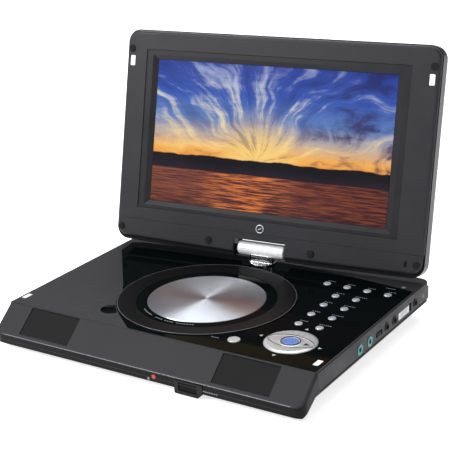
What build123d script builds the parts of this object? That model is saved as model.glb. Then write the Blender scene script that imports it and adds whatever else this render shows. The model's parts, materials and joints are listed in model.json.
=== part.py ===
from build123d import *
import math
import os

# Portable DVD player with a swivelling, tilting 9 inch screen lid.
# Millimetres. X runs to the player's right, Y to its back, Z up.
# The origin is the centre of the battery pack's flat underside, which stands on the table.

# ---- driving dimensions: base ----
LEFT_X = -125.0            # side faces of the base
RIGHT_X = 128.0
CREASE_Y = -100.0          # where the flat top bends down to the speakers
REAR_Y = 76.0
TOP_Z = 28.0               # flat top surface
BODY_BOTTOM_Z = 12.7
TOP_PLATE = 2.4            # thickness of the top frame
GLOSS = 1.2                # thickness of the glossy control panel let into it
WALL = 2.2
SIDE_WALL = 3.4            # right and left walls, thick enough for the recessed side panel
FLOOR = 2.0
REAR_RADIUS = 7.0
SEAM = 0.3                 # gap between neighbouring casing parts
FIT = 0.15                 # gap around let-in panels

# ---- driving dimensions: sloped front with the speakers ----
FRONT_Y = -120.0
FRONT_TOP_Z = 11.8
FRONT_BOTTOM_Z = 4.0
CORNER_R = 7.0             # in plan
RIM_R = 2.2                # along the slope's outer edges
FOOT_TOP = 12.5
SLOPE = math.degrees(math.atan2(TOP_Z - FRONT_TOP_Z, CREASE_Y - FRONT_Y))
SPEAKER_X = 81.2
GRILLE = (43.3, 22.0)
GRILLE_DOWN = 12.0         # from the crease to the grille's middle, along the slope

# ---- driving dimensions: disc drive ----
DISC = (0.0, -29.0)        # spindle axis
DOOR_R = 65.3
DOOR_GAP = 0.4
DOOR_RISE = 0.8            # how far the door's rim stands above the top
DOOR_BAND_R = 51.2         # inner edge of the sloping satin band
PLATE_R = 43.2             # spun aluminium plate
WELL_R = 62.0
LEDGE_R = 63.0
DECK_Z = 21.0
DECK = 1.0
SLED_REST = 24.0           # lens to spindle axis at rest
SLED_TRAVEL = 26.0
ROD_X = 13.0
SCREW_X = 17.6
ROD_Z = 17.4
DOOR_HINGE = (38.2, 26.2)  # y, z of the door's hinge pin
DOOR_PIN_R = 0.5

# ---- driving dimensions: controls ----
KEY_X = [64.6, 80.8, 97.0, 113.2]
KEY_Y = [-38.6, -20.3, -2.0, 16.3, 34.6]
KEY_R = 2.9
KEY_RISE = 0.7
PRESS = 0.6                # travel of every button
KEY_BOARD_TOP = 22.8
NAV = (90.5, -67.0)
NAV_R = 18.3
ENTER_R = 5.5
OPEN_BUTTON = (55.5, -81.6)
OPEN_R = 4.4
STATUS_LED = (117.4, 52.8)
LATCH_X = 121.0
LATCH_Y = -86.0

# ---- driving dimensions: right-hand side panel ----
SIDE_Z = 19.2              # middle height of the sockets
PHONES_Y = (-40.0, -25.0)
VOLUME_Y = -10.3
AV_Y = (2.2, 14.8)
SWITCH_Y = 32.0
DC_Y = 50.0
CHARGE_LED_Y = 64.0
JACK_BORE_R = 1.8
JACK_DEPTH = 13.0

# ---- driving dimensions: hinge and lid ----
HINGE_Y = 51.0
HINGE_Z = TOP_Z + 10.5
TILT = 13.9                # leaning back from upright, at rest
SWIVEL = 5.4               # turned to the left, seen from above, at rest
BARREL_R = 5.6
BARREL_LENGTH = 39.0
PIN_R = 2.0
SHAFT_R = 6.0
RUNNING = 0.05             # radial clearance of running fits
LID_HALF = 128.0
LID_MID_X = 1.4            # the lid stands a little to the right of its swivel
LID_TOP = 161.4            # from the tilt axis, along the lid
LID_BOTTOM = -3.2
LID_FRONT = 8.3            # front face, ahead of the tilt axis
LID_BACK = -8.7
LID_OVERLAP = 1.2          # rear shell stands out round the front frame
LID_SPLIT = 5.3            # where the front frame meets the rear shell
LID_RADIUS = 9.0
LID_EDGE_R = 2.0           # rounding of the front frame's outer edge
CHIN_SEAM = 12.2
SCREEN = (198.0, 111.7)    # active area, 9 inch wide screen
SCREEN_BOTTOM = 28.4
BEZEL_FACE = 7.7           # a step below the front frame
BEZEL = (109.0, 22.0, 147.4)   # half width, bottom and top of the bezel
NOTCH = (21.7, 7.2)        # half width and top of the gap round the hinge barrel

BASE_WIDTH = RIGHT_X - LEFT_X
BASE_MID_X = (LEFT_X + RIGHT_X) / 2
BASE_UNDER_TOP = TOP_Z - TOP_PLATE
GLOSS_Z = TOP_Z - GLOSS
FLOOR_Z = BODY_BOTTOM_Z + FLOOR
BODY_MID_Y = (CREASE_Y + REAR_Y) / 2
BODY_DEPTH = REAR_Y - CREASE_Y

slope = Plane(
    origin=(0, CREASE_Y, TOP_Z),
    x_dir=(1, 0, 0),
    z_dir=(0, -math.sin(math.radians(SLOPE)), math.cos(math.radians(SLOPE))),
)
turn = math.radians(SWIVEL)
lean = math.radians(TILT)
lid_right = (math.cos(turn), math.sin(turn), 0)
lid_forward = (
    math.cos(lean) * math.sin(turn),
    -math.cos(lean) * math.cos(turn),
    math.sin(lean),
)
lid = Plane(origin=(0, HINGE_Y, HINGE_Z), x_dir=lid_right, z_dir=lid_forward)
post = Plane(origin=(0, HINGE_Y, 0), x_dir=lid_right, z_dir=(0, 0, 1))
lid_depth = Axis((0, 0, 0), lid_forward)
side = Plane(origin=(0, 0, 0), x_dir=(0, 1, 0), z_dir=(1, 0, 0))

key_places = [(x, KEY_Y[4]) for x in KEY_X]
for row in (3, 2, 1, 0):
    key_places += [(x, KEY_Y[row]) for x in KEY_X[1:3]]

os.makedirs("parts", exist_ok=True)


def write(builder, name):
    builder.part.label = name
    export_step(builder.part, f"parts/{name}.step")


def body_outline():
    """Plan of the base behind the crease, with rounded rear corners."""
    front = CREASE_Y + SEAM / 2
    r = REAR_RADIUS
    with BuildLine() as line:
        Line((LEFT_X, front), (RIGHT_X, front))
        Line((RIGHT_X, front), (RIGHT_X, REAR_Y - r))
        RadiusArc((RIGHT_X, REAR_Y - r), (RIGHT_X - r, REAR_Y), -r)
        Line((RIGHT_X - r, REAR_Y), (LEFT_X + r, REAR_Y))
        RadiusArc((LEFT_X + r, REAR_Y), (LEFT_X, REAR_Y - r), -r)
        Line((LEFT_X, REAR_Y - r), (LEFT_X, front))
    return make_face(line.edges())


def gloss_outline(grow=0.0):
    """Plan of the glossy panel: its left edge runs slanting down to the disc door."""
    right = RIGHT_X - 1.8 + grow
    front = CREASE_Y + 0.9 - grow
    with BuildLine() as line:
        Line((-19 - grow, front), (right, front))
        Line((right, front), (right, 49))
        ThreePointArc((right, 49), (0, 57 + grow), (-112, 46 + grow))
        Line((-112, 46 + grow), (-118 - grow, 42))
        Line((-118 - grow, 42), (-116 - grow, 24))
        Line((-116 - grow, 24), (-70 - grow, -36))
        Line((-70 - grow, -36), (-40 - grow, -82))
        Line((-40 - grow, -82), (-19 - grow, front))
    return make_face(line.edges())


def control_holes(extra):
    """Openings for every button and the status light, as seen from above."""
    with Locations(*key_places):
        Circle(KEY_R + extra)
    with Locations(NAV):
        Circle(NAV_R + extra)
    with Locations(OPEN_BUTTON):
        Circle(OPEN_R + extra)
    with Locations(STATUS_LED):
        Circle(1.4)
    with Locations((0, HINGE_Y)):
        Circle(SHAFT_R + 0.5)


def lid_outline(grow, bottom, bow):
    """Lid plan seen from the front, its bottom edge bowed down by bow."""
    left = LID_MID_X - LID_HALF - grow
    right = LID_MID_X + LID_HALF + grow
    r = LID_RADIUS + grow
    top = LID_TOP + grow
    with BuildLine(Plane.XY) as line:
        Line((left, bottom + r), (left, top - r))
        RadiusArc((left, top - r), (left + r, top), r)
        Line((left + r, top), (right - r, top))
        RadiusArc((right - r, top), (right, top - r), r)
        Line((right, top - r), (right, bottom + r))
        RadiusArc((right, bottom + r), (right - r, bottom), r)
        ThreePointArc((right - r, bottom), (LID_MID_X, bottom - bow), (left + r, bottom))
        RadiusArc((left + r, bottom), (left, bottom + r), r)
    return make_face(line.edges())


# ================= base casing =================
with BuildPart() as base_bottom_shell:
    with BuildSketch(Plane.XY.offset(BODY_BOTTOM_Z)):
        body_outline()
    extrude(amount=BASE_UNDER_TOP - BODY_BOTTOM_Z)
    with BuildSketch(Plane.XY.offset(FLOOR_Z)):
        with Locations((BASE_MID_X, BODY_MID_Y)):
            RectangleRounded(BASE_WIDTH - 2 * SIDE_WALL, BODY_DEPTH - 2 * WALL, 4.0)
    extrude(amount=20, mode=Mode.SUBTRACT)
    with BuildSketch(side.offset(RIGHT_X - 2.0)):
        with Locations((-11.5, SIDE_Z)):
            Rectangle(171.0, 10.8)
    extrude(amount=10, mode=Mode.SUBTRACT)
    with BuildSketch(side.offset(RIGHT_X - 10)):
        with Locations((SWITCH_Y, SIDE_Z)):
            Rectangle(22.6, 6.6)
        with Locations((VOLUME_Y, SIDE_Z)):
            Rectangle(12.6, 3.6)
        with Locations(*[(y, SIDE_Z) for y in PHONES_Y + AV_Y + (DC_Y,)]):
            Circle(2.95)
        with Locations((CHARGE_LED_Y, SIDE_Z)):
            Circle(1.5)
    extrude(amount=20, mode=Mode.SUBTRACT)
write(base_bottom_shell, "base_bottom_shell")

with BuildPart() as base_top_frame:
    with BuildSketch(Plane.XY.offset(BASE_UNDER_TOP)):
        body_outline()
    extrude(amount=TOP_PLATE)
    chamfer(base_top_frame.faces().sort_by(Axis.Z)[-1].edges().sort_by(Axis.Y)[1:], length=0.6)
    with BuildSketch(Plane.XY.offset(GLOSS_Z)):
        gloss_outline(FIT)
        with Locations(DISC):
            Circle(DOOR_R + DOOR_GAP)
        with Locations((-49.5, -77.5)):
            Circle(8.0)
        with Locations((0, DOOR_HINGE[0])):
            Rectangle(22.6, 4.4)
    extrude(amount=5, mode=Mode.SUBTRACT)
    with BuildSketch(Plane.XY.offset(BASE_UNDER_TOP)):
        with Locations(DISC):
            Circle(LEDGE_R)
        with Locations((0, DOOR_HINGE[0] - 2)):
            Rectangle(22.6, 8.4)
        control_holes(0.3)
    extrude(amount=5, mode=Mode.SUBTRACT)
    with BuildSketch(Plane.XY.offset(TOP_Z - 1.4)):
        with Locations((-LATCH_X, LATCH_Y), (LATCH_X, LATCH_Y)):
            RectangleRounded(4.6, 9.0, 1.2)
    extrude(amount=5, mode=Mode.SUBTRACT)
    with Locations(Plane((-16, DOOR_HINGE[0], DOOR_HINGE[1]), z_dir=(1, 0, 0))):
        Cylinder(DOOR_PIN_R, 32, align=(Align.CENTER, Align.CENTER, Align.MIN), mode=Mode.SUBTRACT)
write(base_top_frame, "base_top_frame")

with BuildPart() as gloss_panel:
    with BuildSketch(Plane.XY.offset(GLOSS_Z)):
        gloss_outline()
        with Locations(DISC):
            Circle(DOOR_R + DOOR_GAP, mode=Mode.SUBTRACT)
        with Locations((0, DOOR_HINGE[0] - 0.4)):
            Rectangle(22.6, 5.2, mode=Mode.SUBTRACT)
        with Locations((LATCH_X, LATCH_Y)):
            RectangleRounded(4.6, 9.0, 1.2, mode=Mode.SUBTRACT)
    extrude(amount=GLOSS)
    with BuildSketch(Plane.XY.offset(GLOSS_Z)):
        control_holes(0.3)
    extrude(amount=GLOSS, mode=Mode.SUBTRACT)
write(gloss_panel, "gloss_panel")

with BuildPart() as latch_plates_base:
    with BuildSketch(Plane.XY.offset(TOP_Z - 1.4)):
        with Locations((-LATCH_X, LATCH_Y), (LATCH_X, LATCH_Y)):
            RectangleRounded(4.0, 8.0, 0.7)
    extrude(amount=1.2)
write(latch_plates_base, "latch_plates_base")

# ================= sloped front with the speakers =================
FRONT_OUTER = [
    (CREASE_Y - SEAM / 2, TOP_Z),
    (FRONT_Y, FRONT_TOP_Z),
    (FRONT_Y, FRONT_BOTTOM_Z + 0.6),
    (FRONT_Y + 2.5, FRONT_BOTTOM_Z),
    (-103.0, BODY_BOTTOM_Z),
    (CREASE_Y - SEAM / 2, BODY_BOTTOM_Z),
]
COVER = [
    (FRONT_Y + WALL + 0.2, FRONT_BOTTOM_Z),
    (-103.0, BODY_BOTTOM_Z),
    (CREASE_Y - SEAM / 2, BODY_BOTTOM_Z),
    (CREASE_Y - SEAM / 2, BODY_BOTTOM_Z + 2.0),
    (-104.0, BODY_BOTTOM_Z + 2.0),
    (FRONT_Y + WALL + 0.2, FRONT_BOTTOM_Z + 2.4),
]
across = Plane(origin=(LEFT_X, 0, 0), x_dir=(0, 1, 0), z_dir=(1, 0, 0))
inside_slope = WALL / math.sin(math.radians(90 - SLOPE))

with BuildPart() as front_housing:
    with BuildSketch(across):
        with BuildLine():
            Polyline(FRONT_OUTER, close=True)
        make_face()
    extrude(amount=BASE_WIDTH)
    front_face = front_housing.faces().sort_by(Axis.Y)[0]
    fillet(front_face.edges().filter_by(Axis.Z), radius=CORNER_R)
    ramp = front_housing.faces().sort_by(Axis(slope.origin, slope.z_dir))[-1]
    rim = [e for e in ramp.edges() if e.center().Y < CREASE_Y - 1]
    fillet(rim, radius=RIM_R)
    with BuildSketch(across.offset(WALL)):
        with BuildLine():
            Polyline(
                [
                    (-99, TOP_Z - inside_slope),
                    (CREASE_Y, TOP_Z - inside_slope),
                    (FRONT_Y + WALL, FRONT_TOP_Z - 0.9),
                    (FRONT_Y + WALL, 0),
                    (-99, 0),
                ],
                close=True,
            )
        make_face()
    extrude(amount=BASE_WIDTH - 2 * WALL, mode=Mode.SUBTRACT)
    with BuildSketch(slope.offset(-5)):
        with Locations((-SPEAKER_X, -GRILLE_DOWN), (SPEAKER_X, -GRILLE_DOWN)):
            Rectangle(GRILLE[0], GRILLE[1])
    extrude(amount=10, mode=Mode.SUBTRACT)
    with BuildSketch(Plane.XZ.offset(-FRONT_Y - 4)):
        with Locations((43.5, 5.5)):
            Rectangle(22.0 + 2 * FIT, 10.0 + 2 * FIT)
        with Locations((16.0, 8.6)):
            Circle(1.6)
    extrude(amount=8, mode=Mode.SUBTRACT)
write(front_housing, "front_housing")

with BuildPart() as front_housing_cover:
    with BuildSketch(across.offset(WALL + 0.2)):
        with BuildLine():
            Polyline(COVER, close=True)
        make_face()
    extrude(amount=BASE_WIDTH - 2 * WALL - 0.4)
    with BuildSketch(Plane.XZ.offset(-FRONT_Y - 4)):
        with Locations((43.5, 5.5)):
            Rectangle(22.0 + 2 * FIT, 10.0 + 2 * FIT)
    extrude(amount=8, mode=Mode.SUBTRACT)
write(front_housing_cover, "front_housing_cover")

speaker_places = [(-SPEAKER_X, -GRILLE_DOWN), (SPEAKER_X, -GRILLE_DOWN)]
with BuildPart() as speaker_grilles:
    with BuildSketch(slope.offset(-1.2)):
        with Locations(*speaker_places):
            Rectangle(GRILLE[0] - 0.1, GRILLE[1] - 0.1)
    extrude(amount=0.8)
    with BuildSketch(slope.offset(-1.2)):
        with Locations(*speaker_places):
            with GridLocations(3.0, 3.0, 13, 6):
                Circle(0.7)
    extrude(amount=0.8, mode=Mode.SUBTRACT)
write(speaker_grilles, "speaker_grilles")

with BuildPart() as speakers:
    with BuildSketch(slope.offset(-5.0)):
        with Locations(*[(x, down - 0.6) for x, down in speaker_places]):
            RectangleRounded(40.0, 16.0, 6.0)
    extrude(amount=2.8)
    with BuildSketch(slope.offset(-2.2)):
        with Locations(*[(x, down - 0.6) for x, down in speaker_places]):
            SlotOverall(34.0, 12.0)
    extrude(amount=-1.2, mode=Mode.SUBTRACT)
    with BuildSketch(slope.offset(-5.0)):
        with Locations(*[(x, down + 1.0) for x, down in speaker_places]):
            Circle(5.0)
    extrude(amount=-1.2)
write(speakers, "speakers")

with BuildPart() as ir_housing:
    with BuildSketch(Plane.XZ.offset(-FRONT_Y - 3.0)):
        with BuildLine():
            Polyline(
                [(32.5, 10.5), (32.5, 1.6), (33.2, 0.9), (50.9, 0.9), (54.5, 4.4), (54.5, 10.5)],
                close=True,
            )
        make_face()
    extrude(amount=3.5)
    with BuildSketch(Plane.XZ.offset(-FRONT_Y - 1.0)):
        with Locations((43.0, 6.4)):
            RectangleRounded(14.5, 6.4, 0.5)
    extrude(amount=3.0, mode=Mode.SUBTRACT)
write(ir_housing, "ir_housing")

with BuildPart() as ir_window:
    with BuildSketch(Plane.XZ.offset(-FRONT_Y - 1.0)):
        with Locations((43.0, 6.4)):
            RectangleRounded(14.3, 6.2, 0.4)
    extrude(amount=0.8)
write(ir_window, "ir_window")

with BuildPart() as indicator_leds:
    with Locations(Plane((16.0, FRONT_Y + 3.0, 8.6), z_dir=(0, -1, 0))):
        Cylinder(1.6, 3.4, align=(Align.CENTER, Align.CENTER, Align.MIN))
    with Locations((STATUS_LED[0], STATUS_LED[1], BASE_UNDER_TOP)):
        Cylinder(1.4, TOP_PLATE + 0.3, align=(Align.CENTER, Align.CENTER, Align.MIN))
    with Locations(Plane((RIGHT_X - 4.0, CHARGE_LED_Y, SIDE_Z), z_dir=(1, 0, 0))):
        Cylinder(1.5, 3.7, align=(Align.CENTER, Align.CENTER, Align.MIN))
write(indicator_leds, "indicator_leds")

# ================= right-hand side panel and sockets =================
with BuildPart() as side_panel:
    with BuildSketch(side.offset(RIGHT_X - 2.0)):
        with Locations((-11.5, SIDE_Z)):
            RectangleRounded(170.4, 10.2, 1.0)
        with Locations((SWITCH_Y, SIDE_Z)):
            Rectangle(22.6, 6.6, mode=Mode.SUBTRACT)
        with Locations((VOLUME_Y, SIDE_Z)):
            Rectangle(10.4, 3.6, mode=Mode.SUBTRACT)
        with Locations(*[(y, SIDE_Z) for y in PHONES_Y + AV_Y + (DC_Y,)]):
            Circle(2.95, mode=Mode.SUBTRACT)
        with Locations((CHARGE_LED_Y, SIDE_Z)):
            Circle(1.5, mode=Mode.SUBTRACT)
    extrude(amount=1.7)
write(side_panel, "side_panel")

sockets = {
    "headphone_jacks": (PHONES_Y, 3.8),
    "av_jacks": (AV_Y, 3.6),
    "dc_jack": ((DC_Y,), 3.4),
}
for name, (places, flange_r) in sockets.items():
    spots = [(y, SIDE_Z) for y in places]
    with BuildPart() as jack:
        with BuildSketch(side.offset(RIGHT_X - 15.0)):
            with Locations(*spots):
                Circle(2.9)
        extrude(amount=14.7)
        with BuildSketch(side.offset(RIGHT_X - 0.3)):
            with Locations(*spots):
                Circle(flange_r)
        extrude(amount=0.4)
        with BuildSketch(side.offset(RIGHT_X + 0.1)):
            with Locations(*spots):
                Circle(JACK_BORE_R)
        extrude(amount=-JACK_DEPTH, mode=Mode.SUBTRACT)
    write(jack, name)

with BuildPart() as power_switch:
    with BuildSketch(side.offset(RIGHT_X - 3.6)):
        with Locations((SWITCH_Y - 2.2, SIDE_Z)):
            Rectangle(17.4, 5.6)
    extrude(amount=3.7)
    fillet(power_switch.faces().sort_by(Axis.X)[-1].edges(), radius=0.4)
    with BuildSketch(side.offset(RIGHT_X - 4.8)):
        with Locations((SWITCH_Y - 2.2, SIDE_Z)):
            Rectangle(20.0, 8.2)
    extrude(amount=1.2)
write(power_switch, "power_switch")

WHEEL_X = 122.3
with BuildPart() as volume_wheel:
    with BuildSketch(Plane.XY.offset(SIDE_Z - 1.3)):
        with Locations((WHEEL_X, VOLUME_Y)):
            Circle(6.0)
            with PolarLocations(6.1, 30):
                Circle(0.35, mode=Mode.SUBTRACT)
            Circle(1.0 + RUNNING, mode=Mode.SUBTRACT)
    extrude(amount=2.6)
write(volume_wheel, "volume_wheel")

# ================= disc drive =================
with BuildPart() as disc_well:
    with BuildSketch(Plane.XY.offset(DECK_Z - DECK)):
        with Locations(DISC):
            Circle(WELL_R + 1.6)
    extrude(amount=BASE_UNDER_TOP - DECK_Z + DECK)
    with BuildSketch(Plane.XY.offset(DECK_Z)):
        with Locations(DISC):
            Circle(WELL_R)
    extrude(amount=10, mode=Mode.SUBTRACT)
    with BuildSketch(Plane.XY.offset(DECK_Z - DECK)):
        with Locations(DISC):
            Circle(15.0)
        with Locations((DISC[0], DISC[1] - 36.0)):
            Rectangle(20.6, 45.0)
    extrude(amount=DECK, mode=Mode.SUBTRACT)
write(disc_well, "disc_well")

with BuildPart() as spindle_motor:
    with Locations((DISC[0], DISC[1], FLOOR_Z)):
        Cylinder(11.5, 5.6, align=(Align.CENTER, Align.CENTER, Align.MIN))
    fillet(spindle_motor.edges().filter_by(GeomType.CIRCLE).sort_by(Axis.Z)[-1], radius=0.6)
    with Locations((DISC[0], DISC[1], FLOOR_Z + 0.6)):
        Cylinder(1.0 + RUNNING, 10, align=(Align.CENTER, Align.CENTER, Align.MIN), mode=Mode.SUBTRACT)
write(spindle_motor, "spindle_motor")

with BuildPart() as turntable:
    with BuildSketch(Plane.XZ.offset(-DISC[1])):
        with BuildLine():
            Polyline(
                [
                    (0, FLOOR_Z + 0.8), (1.0, FLOOR_Z + 0.8), (1.0, DECK_Z - 0.3), (14.0, DECK_Z - 0.3),
                    (14.0, DECK_Z + 1.4), (7.4, DECK_Z + 1.4), (7.2, DECK_Z + 3.0), (5.6, DECK_Z + 3.8),
                    (0, DECK_Z + 3.8),
                ],
                close=True,
            )
        make_face()
    revolve(axis=Axis((DISC[0], DISC[1], 0), (0, 0, 1)))
write(turntable, "turntable")

sled_y = DISC[1] - SLED_REST
with BuildPart() as pickup_sled:
    with BuildSketch(Plane.XY.offset(FLOOR_Z + 0.6)):
        with Locations((0, sled_y)):
            Rectangle(31.0, 13.0)
    extrude(amount=DECK_Z - DECK - 0.4 - FLOOR_Z - 0.6)
    with BuildSketch(Plane.XY.offset(FLOOR_Z + 0.6)):
        with Locations((0, sled_y)):
            Rectangle(19.2, 13.0)
    extrude(amount=DECK_Z + 0.6 - FLOOR_Z - 0.6)
    for x in (-ROD_X, ROD_X):
        with Locations(Plane((x, sled_y - 8, ROD_Z), z_dir=(0, 1, 0))):
            Cylinder(1.0 + RUNNING, 16, align=(Align.CENTER, Align.CENTER, Align.MIN), mode=Mode.SUBTRACT)
    with Locations((0, sled_y, DECK_Z + 0.6)):
        Cylinder(2.6, 0.5, align=(Align.CENTER, Align.CENTER, Align.MIN))
write(pickup_sled, "pickup_sled")

rail_near = DISC[1] - 14.0
rail_far = DISC[1] - 59.0
with BuildPart() as pickup_rails:
    for y in (rail_near + 1.0, rail_far - 1.0):
        with BuildSketch(Plane.XY.offset(FLOOR_Z)):
            with Locations((1.8, y)):
                Rectangle(36.0, 2.0)
        extrude(amount=DECK_Z - DECK - FLOOR_Z)
    with Locations(Plane((SCREW_X, rail_far - 4, ROD_Z), z_dir=(0, 1, 0))):
        Cylinder(1.2 + RUNNING, 60, align=(Align.CENTER, Align.CENTER, Align.MIN), mode=Mode.SUBTRACT)
    for x in (-ROD_X, ROD_X):
        with Locations(Plane((x, rail_far - 1, ROD_Z), z_dir=(0, 1, 0))):
            Cylinder(1.0, rail_near - rail_far + 2, align=(Align.CENTER, Align.CENTER, Align.MIN))
write(pickup_rails, "pickup_rails")

with BuildPart() as lead_screw:
    with Locations(Plane((SCREW_X, rail_far - 2.2, ROD_Z), z_dir=(0, 1, 0))):
        Cylinder(1.2, rail_near - rail_far + 4.2, align=(Align.CENTER, Align.CENTER, Align.MIN))
write(lead_screw, "lead_screw")

with BuildPart() as sled_motor:
    with Locations(Plane((SCREW_X, rail_far - 2.4, ROD_Z), z_dir=(0, -1, 0))):
        Cylinder(2.6, 7.0, align=(Align.CENTER, Align.CENTER, Align.MIN))
write(sled_motor, "sled_motor")

# ---- door over the disc ----
rim_z = TOP_Z + DOOR_RISE
band_z = TOP_Z - 0.2
web_z = BASE_UNDER_TOP + 0.4
with BuildPart() as disc_door:
    with BuildSketch(Plane.XZ.offset(-DISC[1])):
        with BuildLine():
            Polyline(
                [
                    (0, web_z), (WELL_R - 0.6, web_z), (WELL_R - 0.6, GLOSS_Z + 0.3), (DOOR_R, GLOSS_Z + 0.3),
                    (DOOR_R, rim_z - 0.5), (DOOR_R - 0.5, rim_z), (DOOR_R - 2.6, rim_z),
                    (DOOR_BAND_R, band_z), (DOOR_BAND_R, web_z + 1.0), (0, web_z + 1.0),
                ],
                close=True,
            )
        make_face()
    revolve(axis=Axis((DISC[0], DISC[1], 0), (0, 0, 1)))
    with BuildSketch(Plane.YZ.offset(-11)):
        with Locations(DOOR_HINGE):
            Circle(1.5)
        with BuildLine():
            Polyline(
                [
                    (DOOR_HINGE[0] - 5.2, DOOR_HINGE[1] + 0.9), (DOOR_HINGE[0], DOOR_HINGE[1] + 0.7),
                    (DOOR_HINGE[0], DOOR_HINGE[1] + 1.5), (DOOR_HINGE[0] - 5.2, DOOR_HINGE[1] + 1.8),
                ],
                close=True,
            )
        make_face()
    extrude(amount=22)
    with Locations(Plane((-16, DOOR_HINGE[0], DOOR_HINGE[1]), z_dir=(1, 0, 0))):
        Cylinder(DOOR_PIN_R + RUNNING, 32, align=(Align.CENTER, Align.CENTER, Align.MIN), mode=Mode.SUBTRACT)
write(disc_door, "disc_door")

with BuildPart() as door_gloss_ring:
    with BuildSketch(Plane.XY.offset(web_z + 1.0)):
        with Locations(DISC):
            Circle(DOOR_BAND_R - 0.1)
            Circle(PLATE_R + 0.1, mode=Mode.SUBTRACT)
    extrude(amount=band_z - 0.2 - web_z - 1.0)
write(door_gloss_ring, "door_gloss_ring")

with BuildPart() as door_plate:
    with BuildSketch(Plane.XY.offset(web_z + 1.0)):
        with Locations(DISC):
            Circle(PLATE_R)
    extrude(amount=band_z + 0.1 - web_z - 1.0)
    chamfer(door_plate.faces().sort_by(Axis.Z)[-1].edges(), length=0.3)
write(door_plate, "door_plate")

with BuildPart() as door_hinge_pin:
    with Locations(Plane((-15.5, DOOR_HINGE[0], DOOR_HINGE[1]), z_dir=(1, 0, 0))):
        Cylinder(DOOR_PIN_R, 31, align=(Align.CENTER, Align.CENTER, Align.MIN))
write(door_hinge_pin, "door_hinge_pin")

# ================= electronics =================
with BuildPart() as main_board:
    with BuildSketch(Plane.XY.offset(FLOOR_Z)):
        with Locations((93.0, -12.0)):
            Rectangle(56.0, 160.0)
        with Locations((92.0, -66.0)):
            Rectangle(22.0, 22.0, mode=Mode.SUBTRACT)
    extrude(amount=1.1)
    with BuildSketch(Plane.XY.offset(FLOOR_Z + 1.1)):
        with Locations((84.0, -14.0), (84.0, 24.0)):
            Rectangle(18.0, 18.0)
    extrude(amount=1.4)
    with BuildSketch(Plane.XY.offset(FLOOR_Z + 1.1)):
        with Locations((120.0, SWITCH_Y)):
            Rectangle(6.0, 28.0)
    extrude(amount=5.4)
    with BuildSketch(Plane.XY.offset(FLOOR_Z + 0.6)):
        with Locations((WHEEL_X - 3.0, VOLUME_Y)):
            Rectangle(9.0, 11.0)
    extrude(amount=SIDE_Z - 1.6 - FLOOR_Z - 0.6)
    with Locations((WHEEL_X, VOLUME_Y, FLOOR_Z + 2.0)):
        Cylinder(1.0, SIDE_Z + 1.2 - FLOOR_Z - 2.0, align=(Align.CENTER, Align.CENTER, Align.MIN))
write(main_board, "main_board")

with BuildPart() as key_board:
    with BuildSketch(Plane.XY.offset(KEY_BOARD_TOP - 1.2)):
        with Locations((90.0, -27.0)):
            Rectangle(46.0, 134.0)
        with Locations((66.0, 34.6), (113.0, 34.6)):
            Rectangle(12.0, 11.0)
        with Locations((61.0, -81.6)):
            Rectangle(20.0, 14.0)
    extrude(amount=1.2)
    with BuildSketch(Plane.XY.offset(KEY_BOARD_TOP)):
        with Locations(*key_places):
            Circle(1.6)
        with Locations(OPEN_BUTTON):
            Circle(2.6)
        with Locations(NAV):
            with PolarLocations(13.0, 4):
                Circle(2.0)
    extrude(amount=1.2)
    with BuildSketch(Plane.XY.offset(KEY_BOARD_TOP)):
        with Locations(NAV):
            Circle(2.6)
    extrude(amount=0.4)
write(key_board, "key_board")

# ================= buttons =================
key_top = TOP_Z + KEY_RISE
flange_z = BASE_UNDER_TOP - 0.6
for number, place in enumerate(key_places, start=1):
    with BuildPart() as key:
        with Locations((place[0], place[1], flange_z)):
            Cylinder(KEY_R + 0.8, 0.5, align=(Align.CENTER, Align.CENTER, Align.MIN))
            Cylinder(KEY_R, key_top - flange_z, align=(Align.CENTER, Align.CENTER, Align.MIN))
        fillet(key.faces().sort_by(Axis.Z)[-1].edges(), radius=0.65)
    write(key, f"key_{number:02d}")

with BuildPart() as nav_ring:
    with BuildSketch(Plane.XZ.offset(-NAV[1])):
        with BuildLine():
            Polyline(
                [
                    (NAV[0] + ENTER_R + 0.2, flange_z), (NAV[0] + NAV_R + 1.2, flange_z),
                    (NAV[0] + NAV_R + 1.2, flange_z + 0.5), (NAV[0] + NAV_R, flange_z + 0.5),
                    (NAV[0] + NAV_R, TOP_Z + 0.2),
                ]
            )
            ThreePointArc(
                (NAV[0] + NAV_R, TOP_Z + 0.2), (NAV[0] + 14.0, TOP_Z + 0.85), (NAV[0] + ENTER_R + 0.2, TOP_Z + 0.4)
            )
            Line((NAV[0] + ENTER_R + 0.2, TOP_Z + 0.4), (NAV[0] + ENTER_R + 0.2, flange_z))
        make_face()
    revolve(axis=Axis((NAV[0], NAV[1], 0), (0, 0, 1)))
write(nav_ring, "nav_ring")

with BuildPart() as enter_button:
    with Locations((NAV[0], NAV[1], flange_z - PRESS - 0.6)):
        Cylinder(ENTER_R + 1.0, 0.5, align=(Align.CENTER, Align.CENTER, Align.MIN))
        Cylinder(ENTER_R, TOP_Z + 1.4 + PRESS - flange_z, align=(Align.CENTER, Align.CENTER, Align.MIN))
    fillet(enter_button.faces().sort_by(Axis.Z)[-1].edges(), radius=0.6)
write(enter_button, "enter_button")

with BuildPart() as open_button:
    with Locations((OPEN_BUTTON[0], OPEN_BUTTON[1], flange_z)):
        Cylinder(OPEN_R + 0.9, 0.5, align=(Align.CENTER, Align.CENTER, Align.MIN))
        Cylinder(OPEN_R, TOP_Z + 0.7 - flange_z, align=(Align.CENTER, Align.CENTER, Align.MIN))
    fillet(open_button.faces().sort_by(Axis.Z)[-1].edges(), radius=0.5)
write(open_button, "open_button")

# ================= battery, feet and screws =================
with BuildPart() as battery_pack:
    with BuildSketch():
        RectangleRounded(190.0, 100.0, 6.0)
    extrude(amount=BODY_BOTTOM_Z)
    fillet(battery_pack.faces().sort_by(Axis.Z)[0].edges(), radius=1.5)
write(battery_pack, "battery_pack")

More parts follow.
